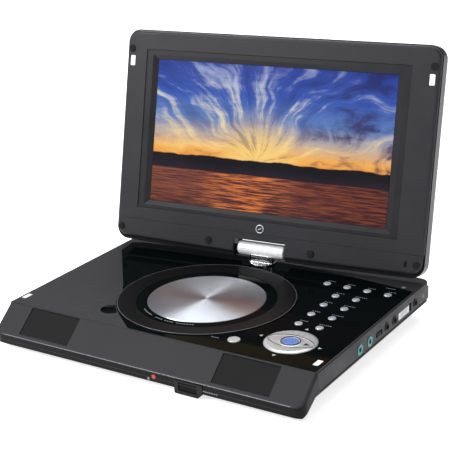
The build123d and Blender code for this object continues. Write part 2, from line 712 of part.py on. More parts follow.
with BuildPart() as feet:
    for x in (-96.0, 96.0):
        with BuildSketch():
            with Locations((x, -103.2)):
                Circle(4.8)
        extrude(amount=FOOT_TOP)
    with BuildSketch(across):
        with BuildLine():
            Polyline(
                [(FRONT_Y + WALL + 0.2, FRONT_BOTTOM_Z), (-103.0, BODY_BOTTOM_Z), (-103.0, 30), (FRONT_Y, 30),
                 (FRONT_Y, FRONT_BOTTOM_Z)],
                close=True,
            )
        make_face()
    extrude(amount=BASE_WIDTH, mode=Mode.SUBTRACT)
write(feet, "feet")

with BuildPart() as base_screws:
    with Locations(*[(x, y, BODY_BOTTOM_Z - 0.8) for x in (-114, 114) for y in (-86, 62)]):
        Cylinder(2.6, 0.8, align=(Align.CENTER, Align.CENTER, Align.MIN))
write(base_screws, "base_screws")

# ================= hinge =================
with BuildPart() as hinge_socket:
    with BuildSketch(Plane.XY.offset(BASE_UNDER_TOP - 5.6)):
        with Locations((0, HINGE_Y)):
            Circle(10.5)
            Circle(SHAFT_R + RUNNING, mode=Mode.SUBTRACT)
    extrude(amount=5.6)
write(hinge_socket, "hinge_socket")

saddle_top = HINGE_Z - 3.0
with BuildPart() as swivel_post:
    with BuildSketch(post.offset(BASE_UNDER_TOP - 5.8)):
        Circle(SHAFT_R)
    extrude(amount=TOP_Z + 0.2 - BASE_UNDER_TOP + 5.8)
    with BuildSketch(post.offset(TOP_Z + 0.2)):
        Circle(10.5)
    extrude(amount=1.3)
    with BuildSketch(post.offset(TOP_Z + 1.5)):
        RectangleRounded(20.0, 9.0, 2.5)
    extrude(amount=saddle_top - TOP_Z - 1.5)
    with Locations(Plane((0, HINGE_Y, HINGE_Z), x_dir=(0, 0, 1), z_dir=lid_right)):
        Cylinder(BARREL_R, 44, mode=Mode.SUBTRACT)
    with BuildSketch(post.offset(BASE_UNDER_TOP - 7.4)):
        Circle(9.0)
    extrude(amount=1.6)
write(swivel_post, "swivel_post")

with BuildPart() as hinge_barrel:
    with Locations(Plane((0, HINGE_Y, HINGE_Z), x_dir=(0, 0, 1), z_dir=lid_right)):
        Cylinder(BARREL_R, BARREL_LENGTH)
    chamfer(hinge_barrel.edges().filter_by(GeomType.CIRCLE), length=0.8)
    with Locations(Plane((0, HINGE_Y, HINGE_Z), x_dir=(0, 0, 1), z_dir=lid_right)):
        Cylinder(PIN_R + RUNNING, BARREL_LENGTH + 2, mode=Mode.SUBTRACT)
write(hinge_barrel, "hinge_barrel")

with BuildPart() as lid_hinge_arms:
    with BuildSketch(lid.offset(LID_BACK + 2.0)):
        with Locations((-27.0, 3.0), (27.0, 3.0)):
            Rectangle(8.0, 7.6)
    extrude(amount=LID_SPLIT - LID_BACK - 2.0)
    with Locations(Plane((0, HINGE_Y, HINGE_Z), x_dir=(0, 0, 1), z_dir=lid_right)):
        Cylinder(PIN_R, 60.0)
write(lid_hinge_arms, "lid_hinge_arms")

# ================= lid =================
with BuildPart() as lid_rear_shell:
    with BuildSketch(lid.offset(LID_BACK)):
        lid_outline(LID_OVERLAP, LID_BOTTOM - 1.8, 1.5)
    extrude(amount=LID_SPLIT - LID_BACK)
    fillet(lid_rear_shell.faces().sort_by(lid_depth)[0].edges(), radius=4.5)
    with BuildSketch(lid.offset(LID_BACK + 2.0)):
        with Locations((LID_MID_X, (LID_TOP + LID_BOTTOM) / 2)):
            RectangleRounded(2 * LID_HALF - 2 * WALL, LID_TOP - LID_BOTTOM - 2 * WALL, 7.0)
    extrude(amount=20, mode=Mode.SUBTRACT)
    with BuildSketch(lid.offset(LID_BACK - 5)):
        with Locations((0, NOTCH[1] - 15)):
            Rectangle(2 * NOTCH[0], 30)
    extrude(amount=30, mode=Mode.SUBTRACT)
    with Locations(Plane((0, HINGE_Y, HINGE_Z), x_dir=(0, 0, 1), z_dir=lid_right)):
        Cylinder(PIN_R, 60.0, mode=Mode.SUBTRACT)
write(lid_rear_shell, "lid_rear_shell")

bumper_places = [(x, v) for v in (147.3, 5.0) for x in (LID_MID_X - 124.0, LID_MID_X + 124.0)] + [(-43.0, 3.0), (43.0, 3.0)]
PLATE_V = 138.0
with BuildPart() as lid_front_frame:
    with BuildSketch(lid.offset(LID_SPLIT)):
        lid_outline(0.0, LID_BOTTOM, 1.0)
    extrude(amount=LID_FRONT - LID_SPLIT)
    fillet(lid_front_frame.faces().sort_by(lid_depth)[-1].edges(), radius=LID_EDGE_R)
    with BuildSketch(lid.offset(LID_SPLIT)):
        with Locations((0, CHIN_SEAM / 2 - 10)):
            Rectangle(2 * LID_HALF + 10, CHIN_SEAM + 20 + SEAM)
        with Locations((0, (BEZEL[1] + BEZEL[2]) / 2)):
            Rectangle(2 * BEZEL[0], BEZEL[2] - BEZEL[1])
        with Locations(*bumper_places):
            Circle(1.4)
    extrude(amount=LID_FRONT - LID_SPLIT, mode=Mode.SUBTRACT)
    with BuildSketch(lid.offset(LID_FRONT - 1.0)):
        with Locations((LID_MID_X - 123.0, PLATE_V), (LID_MID_X + 123.0, PLATE_V)):
            RectangleRounded(4.6, 9.0, 1.2)
    extrude(amount=2, mode=Mode.SUBTRACT)
write(lid_front_frame, "lid_front_frame")

with BuildPart() as lid_chin_cover:
    with BuildSketch(lid.offset(LID_SPLIT)):
        lid_outline(0.0, LID_BOTTOM + 1.2, 1.6)
    extrude(amount=LID_FRONT - LID_SPLIT)
    fillet(lid_chin_cover.faces().sort_by(lid_depth)[-1].edges(), radius=LID_EDGE_R)
    with BuildSketch(lid.offset(LID_SPLIT)):
        with Locations((0, CHIN_SEAM + 100)):
            Rectangle(2 * LID_HALF + 10, 200)
        with Locations((0, NOTCH[1] - 15)):
            Rectangle(2 * NOTCH[0], 30)
        with Locations(*bumper_places):
            Circle(1.4)
    extrude(amount=LID_FRONT - LID_SPLIT, mode=Mode.SUBTRACT)
    with BuildSketch(lid.offset(LID_FRONT - 1.6)):
        with Locations((117.2, 5.0)):
            SlotOverall(4.6, 2.2, rotation=90)
    extrude(amount=3, mode=Mode.SUBTRACT)
write(lid_chin_cover, "lid_chin_cover")

screen_mid = SCREEN_BOTTOM + SCREEN[1] / 2
bezel_mid = (BEZEL[1] + BEZEL[2]) / 2
bezel_size = (2 * BEZEL[0] - 2 * FIT, BEZEL[2] - BEZEL[1] - 2 * FIT)
LCD_FACE = LID_FRONT - 2.5
with BuildPart() as display_bezel:
    with BuildSketch(lid.offset(LCD_FACE)):
        with Locations((0, bezel_mid)):
            Rectangle(*bezel_size)
    extrude(amount=BEZEL_FACE - LCD_FACE)
    with BuildSketch(lid.offset(LCD_FACE)):
        with Locations((0, screen_mid)):
            Rectangle(*SCREEN)
    with BuildSketch(lid.offset(BEZEL_FACE)):
        with Locations((0, screen_mid)):
            Rectangle(SCREEN[0] + 9.0, SCREEN[1] + 7.0)
    loft(mode=Mode.SUBTRACT)
write(display_bezel, "display_bezel")

with BuildPart() as lcd_panel:
    with BuildSketch(lid.offset(LCD_FACE - 4.8)):
        with Locations((0, screen_mid)):
            Rectangle(SCREEN[0] + 10, SCREEN[1] + 8)
    extrude(amount=4.8)
write(lcd_panel, "lcd_panel")

with BuildPart() as display_board:
    with BuildSketch(lid.offset(LID_BACK + 2.6)):
        with Locations((70.0, 14.0)):
            Rectangle(70.0, 12.0)
    extrude(amount=1.4)
write(display_board, "display_board")

with BuildPart() as lid_bumpers:
    with BuildSketch(lid.offset(LID_FRONT)):
        with Locations(*bumper_places):
            Circle(2.8)
    extrude(amount=0.9)
    fillet(lid_bumpers.edges().filter_by(GeomType.CIRCLE).group_by(lid_depth)[-1], radius=0.5)
    with BuildSketch(lid.offset(LID_SPLIT + 0.2)):
        with Locations(*bumper_places):
            Circle(1.4)
    extrude(amount=LID_FRONT - LID_SPLIT - 0.2)
write(lid_bumpers, "lid_bumpers")

with BuildPart() as latch_plates_lid:
    with BuildSketch(lid.offset(LID_FRONT - 1.0)):
        with Locations((LID_MID_X - 123.0, PLATE_V), (LID_MID_X + 123.0, PLATE_V)):
            RectangleRounded(4.0, 8.0, 0.7)
    extrude(amount=0.8)
write(latch_plates_lid, "latch_plates_lid")
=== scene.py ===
import json
import math

import bmesh
import bpy
from mathutils import Matrix, Vector


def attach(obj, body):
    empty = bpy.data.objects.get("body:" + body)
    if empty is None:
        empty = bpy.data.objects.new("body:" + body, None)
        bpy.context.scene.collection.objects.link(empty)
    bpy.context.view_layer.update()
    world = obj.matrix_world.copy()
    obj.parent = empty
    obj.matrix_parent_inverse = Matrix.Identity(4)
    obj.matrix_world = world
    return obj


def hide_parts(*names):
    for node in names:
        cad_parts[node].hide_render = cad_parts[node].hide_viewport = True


MM = 0.001

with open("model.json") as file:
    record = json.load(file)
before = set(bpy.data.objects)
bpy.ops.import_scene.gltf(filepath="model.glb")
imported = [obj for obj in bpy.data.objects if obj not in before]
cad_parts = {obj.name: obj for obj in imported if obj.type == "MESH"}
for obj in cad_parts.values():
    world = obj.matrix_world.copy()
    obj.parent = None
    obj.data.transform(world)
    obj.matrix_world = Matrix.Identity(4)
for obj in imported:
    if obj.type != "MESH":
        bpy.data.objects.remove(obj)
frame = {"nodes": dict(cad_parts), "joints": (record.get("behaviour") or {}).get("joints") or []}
nodes = frame["nodes"]
joints = {j["name"]: j for j in frame["joints"]}
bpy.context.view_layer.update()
scene = bpy.context.scene
scene.view_settings.view_transform = "Standard"

# ------------------------------------------------------------------ reference planes
tilt_pos = Vector(joints["lid_tilt"]["pos_m"])
lid_x = Vector(joints["lid_tilt"]["axis"]).normalized()
LEAN = math.radians(13.9)
lid_n = (Matrix.Rotation(-LEAN, 3, lid_x) @ lid_x.cross(Vector((0, 0, 1)))).normalized()
lid_v = lid_n.cross(lid_x).normalized()


def plane_matrix(origin, x_dir, y_dir):
    z_dir = x_dir.cross(y_dir)
    m = Matrix((x_dir, y_dir, z_dir)).transposed().to_4x4()
    m.translation = origin
    return m


LID = plane_matrix(tilt_pos, lid_x, lid_v)
CREASE_Y = -100 * MM
TOP = 28 * MM
SLOPE = math.atan2(16.2, 20.0)
SLOPE_PLANE = plane_matrix(
    Vector((0, CREASE_Y, TOP)), Vector((1, 0, 0)), Vector((0, math.cos(SLOPE), math.sin(SLOPE)))
)
FLAT = Matrix.Translation((0, 0, TOP))
FRONT_Y = -120
RIGHT_X = 128
FRONT = plane_matrix(Vector((0, FRONT_Y * MM, 0)), Vector((1, 0, 0)), Vector((0, 0, 1)))
SIDE = plane_matrix(Vector((RIGHT_X * MM, 0, 0)), Vector((0, 1, 0)), Vector((0, 0, 1)))
DISC = (0, -29)            # centre of the disc door, in millimetres
SCREEN_W, SCREEN_H = 198.0, 111.7
SCREEN_LOW = 28.4          # the picture's lower edge, up the lid from its hinge line


# ------------------------------------------------------------------ shader helpers
class Graph:
    """Small helper that writes a material's node tree."""

    def __init__(self, name):
        self.material = bpy.data.materials.new(name)
        self.material.use_nodes = True
        self.tree = self.material.node_tree
        self.bsdf = self.tree.nodes["Principled BSDF"]

    def put(self, socket, value):
        if isinstance(value, bpy.types.NodeSocket):
            self.tree.links.new(value, socket)
        elif isinstance(value, (tuple, list)) and socket.type == "RGBA" and len(value) == 3:
            socket.default_value = (*value, 1.0)
        else:
            socket.default_value = value

    def set(self, **inputs):
        for key, value in inputs.items():
            self.put(self.bsdf.inputs[key.replace("_", " ")], value)

    def place(self):
        return self.tree.nodes.new("ShaderNodeTexCoord").outputs["Object"]

    def split(self, vector):
        node = self.tree.nodes.new("ShaderNodeSeparateXYZ")
        self.put(node.inputs[0], vector)
        return node.outputs

    def join(self, x, y, z=0.0):
        node = self.tree.nodes.new("ShaderNodeCombineXYZ")
        for socket, value in zip(node.inputs, (x, y, z)):
            self.put(socket, value)
        return node.outputs[0]

    def math(self, op, *values):
        node = self.tree.nodes.new("ShaderNodeMath")
        node.operation = op
        for socket, value in zip(node.inputs, values):
            self.put(socket, value)
        return node.outputs[0]

    def span(self, value, low, high, to_low=0.0, to_high=1.0, smooth=True):
        node = self.tree.nodes.new("ShaderNodeMapRange")
        node.interpolation_type = "SMOOTHSTEP" if smooth else "LINEAR"
        for socket, v in zip(node.inputs, (value, low, high, to_low, to_high)):
            self.put(socket, v)
        return node.outputs[0]

    def mix(self, factor, a, b):
        node = self.tree.nodes.new("ShaderNodeMix")
        node.data_type = "RGBA"
        self.put(node.inputs[0], factor)
        self.put(node.inputs[6], a)
        self.put(node.inputs[7], b)
        return node.outputs[2]

    def ramp(self, factor, stops):
        node = self.tree.nodes.new("ShaderNodeValToRGB")
        elements = node.color_ramp.elements
        while len(elements) < len(stops):
            elements.new(0.5)
        for element, (position, colour) in zip(elements, stops):
            element.position = position
            element.color = (*colour, 1.0)
        self.put(node.inputs[0], factor)
        return node.outputs[0]

    def noise(self, scale, detail=2.0, vector=None, rough=0.5):
        node = self.tree.nodes.new("ShaderNodeTexNoise")
        self.put(node.inputs["Vector"], vector if vector is not None else self.place())
        self.put(node.inputs["Scale"], scale)
        self.put(node.inputs["Detail"], detail)
        self.put(node.inputs["Roughness"], rough)
        return node.outputs[0]

    def soft_edges(self, radius):
        node = self.tree.nodes.new("ShaderNodeBevel")
        node.samples = 4
        node.inputs["Radius"].default_value = radius
        return node.outputs[0]

    def bump(self, height, strength, distance, normal=None):
        node = self.tree.nodes.new("ShaderNodeBump")
        node.inputs["Strength"].default_value = strength
        node.inputs["Distance"].default_value = distance
        self.put(node.inputs["Height"], height)
        if normal is not None:
            self.put(node.inputs["Normal"], normal)
        return node.outputs[0]


def srgb(*levels):
    """Linear colour from 0-255 display values."""
    shares = [level / 255 for level in levels]
    return tuple(c / 12.92 if c <= 0.04045 else ((c + 0.055) / 1.055) ** 2.4 for c in shares)


def scaled(colour, k):
    return tuple(c * k for c in colour)


def moulded(name, colour, rough=0.5, grain=1400.0, depth=0.05, edge=0.35, spread=0.12, shine=0.2):
    """Injection-moulded plastic with a fine spark-eroded texture and slightly cloudy colour."""
    g = Graph(name)
    fine = g.noise(grain, 3.0)
    cloud = g.noise(18.0, 3.0)
    tone = g.mix(cloud, scaled(colour, 1 - spread), scaled(colour, 1 + spread))
    speck = g.span(fine, 0.45, 0.75, 0.0, 0.35)
    g.set(Base_Color=g.mix(speck, tone, scaled(colour, 1.5)), Specular_IOR_Level=shine)
    g.set(Roughness=g.span(g.noise(60.0, 4.0), 0.3, 0.7, rough - 0.05, rough + 0.06))
    g.set(Normal=g.bump(fine, depth, 0.0002, g.soft_edges(edge * MM)))
    return g.material


def polished(name, colour, rough=0.05, edge=0.3, shine=0.5, smudge=0.05):
    """High-gloss plastic: faint smears and hairlines in the roughness, colour barely clouded."""
    g = Graph(name)
    smear = g.noise(14.0, 5.0, rough=0.65)
    x, y, z = g.split(g.place())
    hair = g.noise(900.0, 1.0, g.join(g.math("MULTIPLY", x, 0.06), y, z))
    g.set(Base_Color=g.mix(smear, scaled(colour, 0.85), scaled(colour, 1.2)))
    smeared = g.span(smear, 0.35, 0.75, rough, rough + smudge)
    g.set(Roughness=g.math("ADD", smeared, g.span(hair, 0.62, 0.8, 0.0, 0.02)))
    g.set(Normal=g.bump(g.noise(30.0, 1.0), 0.02, 0.0004, g.soft_edges(edge * MM)))
    g.set(Specular_IOR_Level=shine)
    return g.material


def metal(name, colour, rough=0.2, grain=(40.0, 900.0), edge=0.25, depth=0.02):
    """Bright metal with directional brushing and slightly uneven tone."""
    g = Graph(name)
    x, y, z = g.split(g.place())
    stretched = [g.math("MULTIPLY", axis, k) for axis, k in zip((x, y, z), (grain[0], grain[1], grain[1]))]
    brushed = g.noise(1.0, 3.0, g.join(*stretched))
    g.set(Base_Color=g.mix(brushed, scaled(colour, 0.88), scaled(colour, 1.08)), Metallic=1.0)
    g.set(Roughness=g.span(brushed, 0.3, 0.7, rough * 0.8, rough * 1.25))
    g.set(Normal=g.bump(brushed, depth, 0.0002, g.soft_edges(edge * MM)))
    return g.material


def silver_paint(name, colour, rough=0.28, edge=0.4, metallic=0.35):
    """Silver-painted plastic under clear lacquer, with tiny metallic flakes."""
    g = Graph(name)
    flake = g.noise(5200.0, 1.0)
    g.set(Base_Color=g.mix(flake, scaled(colour, 0.86), scaled(colour, 1.1)), Metallic=metallic)
    g.set(Roughness=g.span(g.noise(80.0, 3.0), 0.3, 0.7, rough - 0.05, rough + 0.07))
    g.set(Coat_Weight=0.35, Coat_Roughness=0.08)
    g.set(Normal=g.bump(flake, 0.03, 0.0001, g.soft_edges(edge * MM)))
    return g.material


# ------------------------------------------------------------------ materials
DARK_GREY = srgb(45, 45, 47)
casing = moulded("casing_plastic", DARK_GREY, rough=0.5)
lid_casing = moulded("lid_plastic", srgb(41, 41, 44), rough=0.42, depth=0.03)
shell_plastic = moulded("bottom_plastic", srgb(34, 34, 36), rough=0.45)
side_plastic = moulded("side_plastic", srgb(44, 44, 46), rough=0.45, depth=0.03)
bezel_plastic = moulded("bezel_plastic", srgb(34, 34, 37), rough=0.36, depth=0.02, edge=0.2)
gloss_black = polished("gloss_black", (0.0016, 0.0030, 0.0032), rough=0.035, smudge=0.03, shine=0.015)
shell_black = polished("lid_shell_black", (0.009, 0.009, 0.010), rough=0.2, edge=0.6, shine=0.12)
door_satin = polished("door_satin", (0.0045, 0.0045, 0.005), rough=0.28, edge=0.3, shine=0.06)
front_black = polished("front_black", (0.0025, 0.0025, 0.003), rough=0.25, shine=0.2)
# light grey used only for painted highlight lines along rounded edges and rims
painted_highlight_grey = polished("painted_highlight_grey", srgb(96, 98, 104), rough=0.2)
rubber = moulded("rubber", srgb(17, 17, 18), rough=0.72, grain=2600.0, depth=0.12, edge=0.3)
black_plastic = moulded("black_plastic", srgb(26, 26, 27), rough=0.4, depth=0.04, edge=0.2)
drive_black = moulded("drive_black", srgb(34, 34, 35), rough=0.5)
battery_plastic = moulded("battery_plastic", srgb(46, 46, 48), rough=0.55, depth=0.08)
steel = metal("steel", (0.56, 0.56, 0.58), rough=0.28)
nickel = metal("nickel_plate", (0.78, 0.76, 0.70), rough=0.22)
chrome = metal("chrome_plate", (0.83, 0.83, 0.84), rough=0.06, depth=0.005, edge=0.4)
silver = silver_paint("silver_paint", srgb(196, 198, 200))
nav_silver = silver_paint("nav_silver", srgb(176, 178, 179), rough=0.26, metallic=0.25)
# near-white silver paint: the hinge barrel's own finish; on the latch plates it is a painted reflection in
# place of their bright metal
white_silver_and_painted_reflection = silver_paint("hinge_silver_and_painted_reflection", srgb(246, 247, 248), rough=0.3, metallic=0.1)
key_silver = silver_paint("key_silver", srgb(196, 200, 206), rough=0.2, metallic=0.4, edge=0.5)
# black oxide: the screws' own finish, and painted shade on the lid's hinge arms
oxide_and_painted_shade = metal("black_oxide_and_painted_shade", (0.05, 0.05, 0.05), rough=0.4)


def front_housing_material():
    """Matte slope; the front and end faces are polished black like the real two-finish moulding."""
    g = Graph("front_housing_plastic")
    normal = g.split(g.tree.nodes.new("ShaderNodeNewGeometry").outputs["True Normal"])
    slope_face = g.span(normal[2], 0.12, 0.3)
    fine = g.noise(1400.0, 3.0)
    cloud = g.noise(18.0, 3.0)
    matte = g.mix(cloud, scaled(DARK_GREY, 0.92), scaled(DARK_GREY, 1.12))
    matte = g.mix(g.span(fine, 0.45, 0.75, 0.0, 0.35), matte, scaled(DARK_GREY, 1.5))
    black = g.mix(cloud, (0.0018, 0.0018, 0.0021), (0.0030, 0.0030, 0.0033))
    g.set(Base_Color=g.mix(slope_face, black, matte))
    g.set(Roughness=g.span(slope_face, 0.0, 1.0, 0.30, 0.46, smooth=False), Specular_IOR_Level=0.12)
    g.set(Normal=g.bump(fine, 0.04, 0.0002, g.soft_edges(0.9 * MM)))
    return g.material


def spun_material():
    """Aluminium turned on a lathe: concentric grooves and the two-fan highlight they give."""
    g = Graph("spun_aluminium")
    x, y, _ = g.split(g.place())
    dy = g.math("SUBTRACT", y, DISC[1] * MM)
    radius = g.math("SQRT", g.math("ADD", g.math("MULTIPLY", x, x), g.math("MULTIPLY", dy, dy)))
    groove = g.noise(1.0, 3.0, g.join(g.math("MULTIPLY", radius, 4200.0), 0.0, 0.0), 0.6)
    g.set(Base_Color=g.mix(groove, (0.54, 0.61, 0.68), (0.83, 0.91, 0.99)), Metallic=1.0)
    g.set(Roughness=g.span(groove, 0.3, 0.7, 0.27, 0.36))
    g.set(Anisotropic=0.85, Tangent=g.join(x, dy))
    g.set(Normal=g.bump(groove, 0.05, 0.00006))
    return g.material


def grille_material():
    """Dark cloth-like speaker mesh: rows of very fine perforations, in the grille's own plane."""
    g = Graph("speaker_mesh")
    x, y, _ = g.split(g.place())
    pitch = 0.9 * MM
    row_pitch = pitch * 0.87
    row = g.math("FLOOR", g.math("DIVIDE", y, row_pitch))
    shift = g.math("MULTIPLY", g.math("MODULO", row, 2.0), 0.5)
    cx = g.math("SUBTRACT", g.math("FRACT", g.math("ADD", g.math("DIVIDE", x, pitch), shift)), 0.5)
    cy = g.math("SUBTRACT", g.math("FRACT", g.math("DIVIDE", y, row_pitch)), 0.5)
    d = g.math("SQRT", g.math("ADD", g.math("MULTIPLY", cx, cx), g.math("MULTIPLY", cy, cy)))
    hole = g.span(d, 0.26, 0.36)
    base = g.mix(g.noise(30.0, 3.0), srgb(20, 20, 21), srgb(26, 26, 27))
    g.set(Base_Color=g.mix(hole, srgb(11, 11, 12), base), Roughness=0.6, Specular_IOR_Level=0.12)
    g.set(Normal=g.bump(hole, 0.35, 0.0002))
    return g.material


def lens_material(name, colour, glow, rough=0.12):
    """Tinted clear plastic under a clear coat, faintly clouded, with a faint painted glow."""
    g = Graph(name)
    cloud = g.noise(700.0, 2.0)
    g.set(Base_Color=g.mix(cloud, scaled(colour, 0.75), colour))
    g.set(Roughness=g.span(cloud, 0.3, 0.7, rough, rough + 0.1))
    # painted glow: the lens gives off a little light of its own tint
    g.set(Emission_Color=g.mix(cloud, scaled(colour, 0.6), colour), Emission_Strength=glow)
    g.set(Coat_Weight=0.6, Coat_Roughness=0.05, Normal=g.soft_edges(0.3 * MM))
    return g.material


def led_material():
    """The three lamps: red at the front, clear beside the keys, dim red by the supply socket."""
    g = Graph("lamps")
    _, y, _ = g.split(g.place())
    cloud = g.noise(700.0, 2.0)
    lit = g.span(y, -70 * MM, -60 * MM, 0.12, 0.0)
    clear = g.math("MULTIPLY", g.span(y, 40 * MM, 45 * MM), g.span(y, 60 * MM, 57 * MM))
    red = g.mix(cloud, (0.30, 0.012, 0.01), (0.45, 0.02, 0.015))
    red = g.mix(g.span(y, 60 * MM, 62 * MM), red, g.mix(cloud, (0.05, 0.006, 0.006), (0.09, 0.008, 0.008)))
    g.set(Base_Color=g.mix(clear, red, g.mix(cloud, srgb(120, 122, 124), srgb(150, 152, 154))))
    g.set(Emission_Color=red, Emission_Strength=lit, Roughness=g.span(cloud, 0.3, 0.7, 0.15, 0.25))
    g.set(Normal=g.soft_edges(0.3 * MM))
    return g.material


def board_material():
    """Green solder mask with copper tracks showing through."""
    g = Graph("circuit_board")
    x, _, _ = g.split(g.place())
    wander = g.math("MULTIPLY", g.noise(60.0, 1.0), 0.01)
    track = g.math("FRACT", g.math("MULTIPLY", g.math("ADD", x, wander), 450.0))
    line = g.span(track, 0.35, 0.45)
    g.set(Base_Color=g.mix(line, (0.012, 0.10, 0.045), (0.03, 0.20, 0.09)))
    g.set(Roughness=g.span(line, 0.0, 1.0, 0.3, 0.45))
    g.set(Normal=g.bump(line, 0.1, 0.0001))
    return g.material


def screen_material():
    """A made-up lakeside sunset: cloud streaks fan out from a low sun over dark hills and water."""
    g = Graph("screen_picture")
    x, y, _ = g.split(g.place())
    u = g.math("ADD", g.math("DIVIDE", x, SCREEN_W * MM), 0.5)
    v = g.math("DIVIDE", g.math("SUBTRACT", y, SCREEN_LOW * MM), SCREEN_H * MM)
    sx = g.math("MULTIPLY", g.math("SUBTRACT", u, 0.46), 1.77)
    sy = g.math("SUBTRACT", v, 0.34)
    r = g.math("SQRT", g.math("ADD", g.math("MULTIPLY", sx, sx), g.math("MULTIPLY", sy, sy)))
    bend = g.noise(1.0, 2.0, g.join(g.math("MULTIPLY", u, 2.6), g.math("MULTIPLY", v, 2.2), 5.2))
    angle = g.math("ADD", g.math("ARCTAN2", sy, sx), g.math("MULTIPLY", bend, 1.1))
    log_r = g.math("LOGARITHM", g.math("ADD", r, 0.15), 2.718)
    fan = g.join(g.math("MULTIPLY", angle, 4.6), g.math("MULTIPLY", log_r, 1.2), 3.1)
    streak = g.noise(1.0, 8.0, fan, 0.62)
    puff = g.noise(1.0, 8.0, g.join(g.math("MULTIPLY", u, 4.0), g.math("MULTIPLY", v, 9.0), 7.7), 0.62)
    cloud = g.math("ADD", g.math("MULTIPLY", streak, 0.72), g.math("MULTIPLY", puff, 0.28))
    clear = g.ramp(v, [
        (0.30, srgb(244, 142, 48)), (0.40, srgb(246, 178, 88)), (0.50, srgb(188, 172, 164)),
        (0.62, srgb(96, 130, 190)), (0.78, srgb(54, 88, 178)), (1.0, srgb(40, 62, 152)),
    ])
    lit = g.ramp(v, [
        (0.32, srgb(255, 200, 92)), (0.50, srgb(255, 226, 160)),
        (0.75, srgb(222, 222, 216)), (1.0, srgb(150, 164, 214)),
    ])
    dusk = g.ramp(v, [
        (0.32, srgb(104, 46, 54)), (0.45, srgb(72, 52, 84)),
        (0.7, srgb(52, 60, 116)), (1.0, srgb(34, 44, 112)),
    ])
    right_side = g.span(u, 0.45, 0.85)
    low_left = g.math("MULTIPLY", g.span(u, 0.35, 0.1), g.span(v, 0.62, 0.42))
    shade = g.math("MAXIMUM", g.math("MAXIMUM", right_side, low_left), 0.45)
    sky = g.mix(g.span(cloud, 0.50, 0.64, 0.0, 0.85), clear, lit)
    sky = g.mix(g.span(r, 0.42, 0.04, 0.0, 0.85), sky, srgb(255, 216, 128))
    sky = g.mix(g.math("MULTIPLY", g.span(cloud, 0.50, 0.40), shade), sky, dusk)
    ridge = g.noise(1.0, 4.0, g.join(g.math("MULTIPLY", u, 6.0), 0.4, 0.0))
    hill_top = g.math("ADD", 0.318, g.math("MULTIPLY", ridge, 0.07))
    hill = g.mix(g.span(v, 0.25, 0.33), srgb(34, 24, 36), srgb(14, 13, 20))
    sky = g.mix(g.span(g.math("SUBTRACT", v, hill_top), 0.005, -0.004), sky, hill)
    ripple = g.noise(1.0, 5.0, g.join(g.math("MULTIPLY", u, 11.0), g.math("MULTIPLY", v, 120.0), 1.3), 0.6)
    water = g.mix(g.span(u, 0.0, 1.0, smooth=False), srgb(112, 62, 54), srgb(74, 30, 34))
    water = g.mix(g.span(v, 0.12, 0.0, 0.0, 0.5), water, srgb(40, 16, 26))
    under_sun = g.span(g.math("ABSOLUTE", g.math("SUBTRACT", u, 0.42)), 0.26, 0.02)
    glow = g.math("ADD", 0.18, g.math("MULTIPLY", under_sun, 0.75))
    glint = g.math("MULTIPLY", g.span(ripple, 0.44, 0.64), glow)
    water = g.mix(glint, water, srgb(238, 132, 62))
    water = g.mix(g.span(ripple, 0.47, 0.36, 0.0, 0.5), water, srgb(40, 18, 30))
    picture = g.mix(g.span(v, 0.246, 0.252), water, sky)
    g.set(Base_Color=(0.004, 0.004, 0.005), Roughness=g.span(g.noise(25.0, 4.0), 0.3, 0.7, 0.12, 0.2))
    g.set(Emission_Color=picture, Emission_Strength=0.95, Specular_IOR_Level=0.3)
    return g.material


def print_material(name, colour):
    """Screen-printed ink, a touch uneven in cover, with a faint painted glow."""
    g = Graph(name)
    cover = g.noise(1600.0, 2.0)
    g.set(Base_Color=g.mix(cover, scaled(colour, 0.7), colour), Roughness=g.span(cover, 0.3, 0.7, 0.4, 0.55))
    # painted glow: the ink gives off a little light of its own colour
    g.set(Emission_Color=colour, Emission_Strength=0.08)
    return g.material


front_plastic = front_housing_material()
spun = spun_material()
mesh_cloth = grille_material()
lamps = led_material()
blue_lens = lens_material("blue_button", srgb(92, 126, 205), 0.12, 0.2)
teal = polished("teal_plastic", srgb(10, 122, 120), rough=0.2, edge=0.3)
ir_glass = polished("infrared_window", (0.004, 0.002, 0.002), rough=0.08, shine=0.08)
board = board_material()
white_ink = print_material("white_ink", srgb(176, 180, 184))
grey_ink = print_material("grey_ink", srgb(120, 124, 126))

looks = {
    casing: ["base_top_frame"],
    shell_plastic: ["base_bottom_shell", "front_housing_cover"],
    front_black: ["ir_housing"],
    front_plastic: ["front_housing"],
    side_plastic: ["side_panel"],
    lid_casing: ["lid_front_frame", "lid_chin_cover"],
    bezel_plastic: ["display_bezel"],
    gloss_black: ["gloss_panel", "door_gloss_ring"],
    shell_black: ["lid_rear_shell"],
    door_satin: ["disc_door"],
    spun: ["door_plate"],
    black_plastic: ["speakers", "av_jacks", "dc_jack", "volume_wheel"],
    ir_glass: ["ir_window", "lcd_panel"],
    lamps: ["indicator_leds"],
    teal: ["headphone_jacks"],
    silver: ["power_switch"],
    key_silver: [f"key_{i:02d}" for i in range(1, 13)] + ["open_button"],
    # the latch plates' near-white is a painted reflection
    white_silver_and_painted_reflection: ["hinge_barrel", "latch_plates_base", "latch_plates_lid"],
    chrome: ["swivel_post"],
    blue_lens: ["enter_button"],
    drive_black: ["disc_well", "turntable", "pickup_sled"],
    steel: ["spindle_motor", "pickup_rails", "lead_screw", "sled_motor", "door_hinge_pin", "hinge_socket"],
    board: ["main_board", "key_board", "display_board"],
    battery_plastic: ["battery_pack"],
    rubber: ["feet", "lid_bumpers"],
    # the lid's hinge arms are bright steel; black oxide on them is painted shade round the hinge barrel
    oxide_and_painted_shade: ["base_screws", "lid_hinge_arms"],
}
for material, names in looks.items():
    for node_name in names:
        slots = nodes[node_name].data.materials
        slots.clear()
        slots.append(material)

screen_look = screen_material()


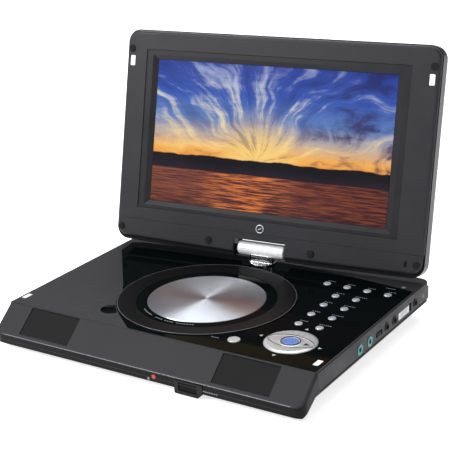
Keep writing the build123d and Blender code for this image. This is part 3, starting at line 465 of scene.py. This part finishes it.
# ------------------------------------------------------------------ mesh helpers
def settle(name, data, material, body, matrix):
    """Put a new piece in the scene with its material, on the body that carries it."""
    obj = bpy.data.objects.new(name, data)
    scene.collection.objects.link(obj)
    data.materials.append(material)
    if matrix is not None:
        obj.matrix_world = matrix
    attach(obj, body)
    return obj


def from_bmesh(name, bm, material, body, matrix=None, smooth=False):
    mesh = bpy.data.meshes.new(name)
    bmesh.ops.recalc_face_normals(bm, faces=bm.faces)
    bm.to_mesh(mesh)
    bm.free()
    for polygon in mesh.polygons:
        polygon.use_smooth = smooth
    return settle(name, mesh, material, body, matrix)


def add_prism(bm, outline, low, high, bevel=0.0):
    """A closed prism over an outline given in millimetres."""
    bottom = [bm.verts.new((x * MM, y * MM, low * MM)) for x, y in outline]
    top = [bm.verts.new((x * MM, y * MM, high * MM)) for x, y in outline]
    bm.faces.new(list(reversed(bottom)))
    cap = bm.faces.new(top)
    count = len(outline)
    for i in range(count):
        n = (i + 1) % count
        bm.faces.new((bottom[i], bottom[n], top[n], top[i]))
    if bevel:
        edges = list(cap.edges)
        bmesh.ops.bevel(bm, geom=edges, offset=bevel * MM, segments=2, profile=0.6, affect="EDGES")


def prism_piece(name, outline, low, high, material, body, matrix, bevel=0.0):
    bm = bmesh.new()
    add_prism(bm, outline, low, high, bevel)
    return from_bmesh(name, bm, material, body, matrix)


def moved(points, cx, cy, turn):
    """Points turned about the origin and then moved to a centre."""
    c, s = math.cos(turn), math.sin(turn)
    return [(cx + c * px - s * py, cy + s * px + c * py) for px, py in points]


def rounded_rectangle(cx, cy, width, height, radius, steps=4, turn=0.0):
    points = []
    half_w, half_h = width / 2 - radius, height / 2 - radius
    for corner, (sx, sy) in enumerate(((1, 1), (-1, 1), (-1, -1), (1, -1))):
        for i in range(steps + 1):
            a = math.pi / 2 * (corner + i / steps)
            points.append((sx * half_w + radius * math.cos(a), sy * half_h + radius * math.sin(a)))
    return moved(points, cx, cy, turn)


def circle(cx, cy, radius, steps=32):
    angles = [2 * math.pi * i / steps for i in range(steps)]
    return [(cx + radius * math.cos(a), cy + radius * math.sin(a)) for a in angles]


def hoop(cx, cy, radius, height, steps):
    """A level circle of points for a closed tube."""
    return [(x, y, height) for x, y in circle(cx, cy, radius, steps)]


def vertex_ring(bm, centre, radius, steps, height):
    """A ring of vertices in millimetres; height(dx, dy) gives how high each one stands."""
    return [
        bm.verts.new(((centre[0] + dx) * MM, (centre[1] + dy) * MM, height(dx, dy) * MM))
        for dx, dy in circle(0, 0, radius, steps)
    ]


def join_rings(bm, inner, outer):
    for k in range(len(inner)):
        n = (k + 1) % len(inner)
        bm.faces.new((inner[k], outer[k], outer[n], inner[n]))


def dashes(cx, cy, width, height, count, fill=0.72):
    """A short row of plain printed dashes in place of a label."""
    step = width / count
    left = cx - width / 2
    return [
        rounded_rectangle(left + step * (i + 0.5), cy, step * fill, height, height * 0.3, 1)
        for i in range(count)
    ]


def printed(name, outlines, material, body, matrix, lift=0.02, height=0.05):
    bm = bmesh.new()
    for outline in outlines:
        add_prism(bm, outline, lift, lift + height)
    return from_bmesh(name, bm, material, body, matrix)


def tube(name, points, radius, material, body, matrix=None, cyclic=False):
    curve = bpy.data.curves.new(name, "CURVE")
    curve.dimensions = "3D"
    curve.bevel_depth = radius * MM
    curve.bevel_resolution = 3
    spline = curve.splines.new("POLY")
    spline.points.add(len(points) - 1)
    for point, co in zip(spline.points, points):
        point.co = (co[0] * MM, co[1] * MM, co[2] * MM, 1.0)
    spline.use_cyclic_u = cyclic
    return settle(name, curve, material, body, matrix)


# ------------------------------------------------------------------ screen picture
SCREEN_TRIM = 0.2          # the picture is this much smaller than its opening
outline = rounded_rectangle(
    0, SCREEN_LOW + SCREEN_H / 2, SCREEN_W - SCREEN_TRIM, SCREEN_H - SCREEN_TRIM, 0.4, 2
)
prism_piece("screen_picture", outline, 5.82, 5.94, screen_look, "lid", LID)

# ------------------------------------------------------------------ speaker grilles
GRILLE_X = 81.2
GRILLE_W, GRILLE_H, GRILLE_MID = 43.0, 21.8, -12.0
GRILLE_LOW, GRILLE_TOP = -1.2, -0.25
for side_name, x in (("left", -GRILLE_X), ("right", GRILLE_X)):
    outline = rounded_rectangle(x, GRILLE_MID, GRILLE_W, GRILLE_H, 0.5, 3)
    piece = prism_piece(
        f"grille_{side_name}", outline, GRILLE_LOW, GRILLE_TOP, mesh_cloth, "base", SLOPE_PLANE, 0.2
    )
    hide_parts("speaker_grilles")

# ------------------------------------------------------------------ navigation ring and its relief
NAV = (90.5, -67.0)
NAV_R = 18.3
NAV_HOLE_R = 5.7
NAV_SKIRT = -2.4
NAV_RINGS = 44
SPOKES = 180
EYE_HALF = (17.6, 9.6)
EYE_POWER = 1.7
EYE_LINE_HALF = (17.2, 9.4)
EYE_LINE_REACH = 17.0
EYE_LINE_STEPS = 32


def nav_height(x, y):
    """Height of the ring's top above the casing: a dome with an eye-shaped dish in it."""
    r = math.hypot(x, y)
    edge = (NAV_R - r) / 2.6
    dome = 0.85 * min(1.0, max(0.0, edge)) ** 0.5
    eye = (abs(x) / EYE_HALF[0]) ** EYE_POWER + (abs(y) / EYE_HALF[1]) ** EYE_POWER
    dish = 0.30 * min(1.0, max(0.0, (1.0 - eye) * 7.0))
    inner = 0.22 * min(1.0, max(0.0, (8.2 - r) * 3.0))
    return dome - dish + inner - 0.05


bm = bmesh.new()
layers = []
for i in range(NAV_RINGS + 1):
    r = NAV_HOLE_R + (NAV_R - NAV_HOLE_R) * i / NAV_RINGS
    layers.append(vertex_ring(bm, NAV, r, SPOKES, nav_height))
outer_skirt = vertex_ring(bm, NAV, NAV_R, SPOKES, lambda dx, dy: NAV_SKIRT)
inner_skirt = vertex_ring(bm, NAV, NAV_HOLE_R, SPOKES, lambda dx, dy: NAV_SKIRT)
layers = [inner_skirt] + layers + [outer_skirt]
for inner, outer in zip(layers, layers[1:]):
    join_rings(bm, inner, outer)
join_rings(bm, outer_skirt, inner_skirt)
nav_piece = from_bmesh("nav_ring_relief", bm, nav_silver, "nav_ring", FLAT, smooth=True)
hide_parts("nav_ring")

for lid_name, sign in (("lower", -1), ("upper", 1)):
    lid_line = []
    for i in range(EYE_LINE_STEPS + 1):
        px = EYE_LINE_REACH * (2 * i / EYE_LINE_STEPS - 1)
        py = sign * EYE_LINE_HALF[1] * max(0.0, 1 - (abs(px) / EYE_LINE_HALF[0]) ** EYE_POWER) ** 0.59
        lid_line.append((NAV[0] + px, NAV[1] + py, nav_height(px, py) + 0.02))
    tube(f"nav_eye_line_{lid_name}", lid_line, 0.26, black_plastic, "nav_ring", FLAT)
tube("nav_inner_line", hoop(*NAV, 6.6, 0.85, 40), 0.3, black_plastic, "nav_ring", FLAT, True)
PLAY_MARK = ((-2.1, -1.9), (2.0, 0.0), (-2.1, 1.9))
play_mark = moved(PLAY_MARK, NAV[0] + 12.4, NAV[1], 0.0)
printed("nav_play_mark", [play_mark], black_plastic, "nav_ring", FLAT, 0.50, 0.06)

# ------------------------------------------------------------------ printed marks on the gloss panel
ARROW = ((-1.1, -1.4), (1.3, 0.0), (-1.1, 1.4))
ARROW_R = 22.8
ARROW_R_RIGHT = 21.8       # nearer, to stay on the panel
outlines = []
for i in range(4):
    a = math.pi / 2 * i
    reach = ARROW_R_RIGHT if i == 0 else ARROW_R
    outlines.append(moved(ARROW, NAV[0] + reach * math.cos(a), NAV[1] + reach * math.sin(a), a))
printed("nav_arrows", outlines, white_ink, "base", FLAT)

KEY_COLUMNS = (64.6, 80.8, 97.0, 113.2)
KEY_ROWS = (16.3, -2.0, -20.3, -38.6)
LABEL_H = 0.9
ABOVE_KEY = 5.7
outlines = []
for x in KEY_COLUMNS:
    outlines += dashes(x + 1.0, 40.3, 6.2, LABEL_H, 4)
for y in KEY_ROWS:
    outlines += dashes(KEY_COLUMNS[1] + 1.0, y + ABOVE_KEY, 6.6, LABEL_H, 4)
    outlines += dashes(KEY_COLUMNS[2] + 1.4, y + ABOVE_KEY, 9.4, LABEL_H, 6)
outlines += dashes(42.0, -84.0, 6.4, LABEL_H, 4)
outlines += dashes(110.0, 46.5, 8.0, LABEL_H, 5)
printed("key_labels", outlines, grey_ink, "base", FLAT)

# ------------------------------------------------------------------ marks of the disc door and a painted highlight along its rim
DOOR_MARK_R = 46.9
DOOR_MARK_START, DOOR_MARK_STEP = -128, 2.35        # degrees
DOOR_MARK_GAPS = (7, 8, 13, 18)
DOOR_RING_TOP = 27.6
DOOR_RIM_R, DOOR_RIM_TOP = 64.75, 28.62
outlines = []
for i in range(26):
    if i in DOOR_MARK_GAPS:
        continue
    a = math.radians(DOOR_MARK_START + DOOR_MARK_STEP * i)
    x, y = DISC[0] + DOOR_MARK_R * math.cos(a), DISC[1] + DOOR_MARK_R * math.sin(a)
    outlines.append(rounded_rectangle(x, y, 1.3, 1.0, 0.25, 1, a + math.pi / 2))
printed("door_ring_marks", outlines, grey_ink, "disc_door", Matrix.Translation((0, 0, DOOR_RING_TOP * MM)))
# painted highlight: a thin light grey line along the door's outer edge
tube("door_rim_painted_highlight", hoop(*DISC, DOOR_RIM_R, DOOR_RIM_TOP, 120), 0.24, painted_highlight_grey, "disc_door", cyclic=True)

# ------------------------------------------------------------------ finger notch beside the door
NOTCH = (-49.5, -77.5)
NOTCH_R = 7.9
NOTCH_RINGS = 7
NOTCH_STEPS = 48
NOTCH_FLOOR = -1.1
DOOR_CLEARANCE_R = 65.8    # the cup is cut away where the door lies over it
bm = bmesh.new()
cup = []
for j in range(1, NOTCH_RINGS + 1):
    depth = 0.12 if j == NOTCH_RINGS else 0.15 + 0.95 * math.cos(math.pi / 2 * j / NOTCH_RINGS) ** 0.7
    cup.append(vertex_ring(bm, NOTCH, NOTCH_R * j / NOTCH_RINGS, NOTCH_STEPS, lambda dx, dy: -depth))
centre = bm.verts.new((NOTCH[0] * MM, NOTCH[1] * MM, NOTCH_FLOOR * MM))
for k in range(NOTCH_STEPS):
    bm.faces.new((centre, cup[0][k], cup[0][(k + 1) % NOTCH_STEPS]))
for inner, outer in zip(cup, cup[1:]):
    join_rings(bm, inner, outer)
doomed = [v for v in bm.verts if math.hypot(v.co.x, v.co.y - DISC[1] * MM) < DOOR_CLEARANCE_R * MM]
bmesh.ops.delete(bm, geom=doomed, context="VERTS")
from_bmesh("finger_notch_cup", bm, gloss_black, "base", FLAT, smooth=True)
glint = rounded_rectangle(-44.4, -75.1, 1.5, 1.1, 0.3, 2, 0.7)
printed("notch_glint", [glint], nickel, "base", FLAT, -0.9, 0.25)

# ------------------------------------------------------------------ lid details
BADGE_V = 16.6
BADGE_BACK, BADGE_FACE = 8.28, 8.5
prism_piece(
    "lid_badge", circle(0, BADGE_V, 3.7, 40), BADGE_BACK, BADGE_FACE, black_plastic, "lid", LID, 0.1
)
tube("lid_badge_ring", hoop(0, BADGE_V, 3.0, BADGE_FACE, 40), 0.42, silver, "lid", LID, True)
badge_stroke = rounded_rectangle(0, BADGE_V, 2.9, 0.8, 0.35, 3, 0.5)
printed("lid_badge_mark", [badge_stroke], silver, "lid", LID, BADGE_FACE, 0.12)

LID_LEFT, LID_RIGHT, LID_HIGH = -126.6, 129.4, 161.4
LID_R = 9.0
SEAM_GROW = 0.12
SEAM_DEPTH = 5.25
CHIN_V = 13.0
reach = LID_R + SEAM_GROW
path = [(LID_RIGHT + SEAM_GROW, CHIN_V, SEAM_DEPTH)]
for cx, start in ((LID_RIGHT - LID_R, 0), (LID_LEFT + LID_R, 90)):
    for i in range(9):
        a = math.radians(start + 90 * i / 8)
        path.append((cx + reach * math.cos(a), LID_HIGH - LID_R + reach * math.sin(a), SEAM_DEPTH))
path.append((LID_LEFT - SEAM_GROW, CHIN_V, SEAM_DEPTH))
# painted highlight: a light grey line round the lid at the rounded edge of its front frame
tube("lid_seam_painted_highlight", path, 0.32, painted_highlight_grey, "lid", LID)

# ------------------------------------------------------------------ front face details
printed("front_mark_left", [circle(11.5, 6.2, 0.9, 16)], grey_ink, "base", FRONT)
printed("front_labels", dashes(60.0, 7.0, 12.0, 0.8, 7), grey_ink, "base", FRONT)
groove_y, rim_y = FRONT_Y - 0.02, FRONT_Y + 0.34
tube("front_groove", [(-117, groove_y, 7.6), (119, groove_y, 7.6)], 0.28, black_plastic, "base")
# painted highlight: a light grey line along the lower edge of the slope
tube("front_rim_painted_highlight", [(-117, rim_y, 11.63), (119.5, rim_y, 11.63)], 0.3, painted_highlight_grey, "base")

# ------------------------------------------------------------------ side sockets
SOCKET_Z = 19.2
SOCKETS = ((2.2, 2.0, 2.75), (14.8, 2.0, 2.75), (50.0, 1.95, 2.5))     # place, inner and outer radius
for i, (y, inner, outer) in enumerate(SOCKETS):
    points = hoop(y, SOCKET_Z, (inner + outer) / 2, 0.12, 32)
    tube(f"socket_ring_{i + 1}", points, 0.34, drive_black, "base", SIDE, True)
ribs = [rounded_rectangle(25.0 + 2.4 * i, SOCKET_Z, 0.7, 4.0, 0.3, 2) for i in range(5)]
printed("switch_ribs", ribs, silver, "power_switch", SIDE, 0.08, 0.25)

# ------------------------------------------------------------------ stage, lights and camera
bm = bmesh.new()
bmesh.ops.create_grid(bm, x_segments=4, y_segments=4, size=6.0)
floor_mesh = bpy.data.meshes.new("floor")
bm.to_mesh(floor_mesh)
bm.free()
floor = bpy.data.objects.new("floor", floor_mesh)
floor.location = (0, 0, -0.0001)
scene.collection.objects.link(floor)
g = Graph("floor_paper")
paper = g.mix(g.noise(6.0, 3.0), (0.86, 0.86, 0.865), (0.89, 0.89, 0.89))
g.set(Base_Color=paper, Roughness=0.9, Specular_IOR_Level=0.0, Emission_Color=paper, Emission_Strength=0.8)
floor_mesh.materials.append(g.material)

world = bpy.data.worlds.new("studio")
scene.world = world
world.use_nodes = True
background = world.node_tree.nodes["Background"]
background.inputs["Color"].default_value = (0.92, 0.95, 1.0, 1.0)
background.inputs["Strength"].default_value = 0.2


def area(name, location, target, size, power):
    light = bpy.data.lights.new(name, "AREA")
    light.shape = "RECTANGLE"
    light.size, light.size_y = size
    light.energy = power
    obj = bpy.data.objects.new(name, light)
    obj.location = location
    obj.rotation_euler = (Vector(target) - Vector(location)).to_track_quat("-Z", "Y").to_euler()
    scene.collection.objects.link(obj)


area("overhead", (-0.15, 0.15, 1.25), (0, 0, 0), (1.8, 1.6), 11)
area("back", (-0.55, 0.95, 1.5), (0, -0.03, 0.03), (1.2, 0.5), 11)
area("key", (-0.9, -1.2, 1.1), (0, 0, 0.05), (0.9, 0.9), 30)
area("fill", (1.1, -1.1, 0.9), (0, 0, 0.05), (0.8, 0.8), 6)

camera_data = bpy.data.cameras.new("camera")
camera = bpy.data.objects.new("camera", camera_data)
scene.collection.objects.link(camera)
CAMERA_AT = (0.45501, -0.70596, 0.36728)
azimuth, elevation, roll = (math.radians(degrees) for degrees in (33.476, 19.385, -2.436))
level = math.cos(elevation)
back = Vector((math.sin(azimuth) * level, -math.cos(azimuth) * level, math.sin(elevation)))
level_right = Vector((math.cos(azimuth), math.sin(azimuth), 0))
level_up = back.cross(level_right)
right = level_right * math.cos(roll) + level_up * math.sin(roll)
up = level_up * math.cos(roll) - level_right * math.sin(roll)
matrix = Matrix((right, up, back)).transposed().to_4x4()
matrix.translation = CAMERA_AT
camera.matrix_world = matrix
camera_data.sensor_width = 36.0
camera_data.lens = 97.63
camera_data.shift_x = 0.0278
camera_data.shift_y = 0.0097
camera_data.clip_start = 0.01
scene.camera = camera
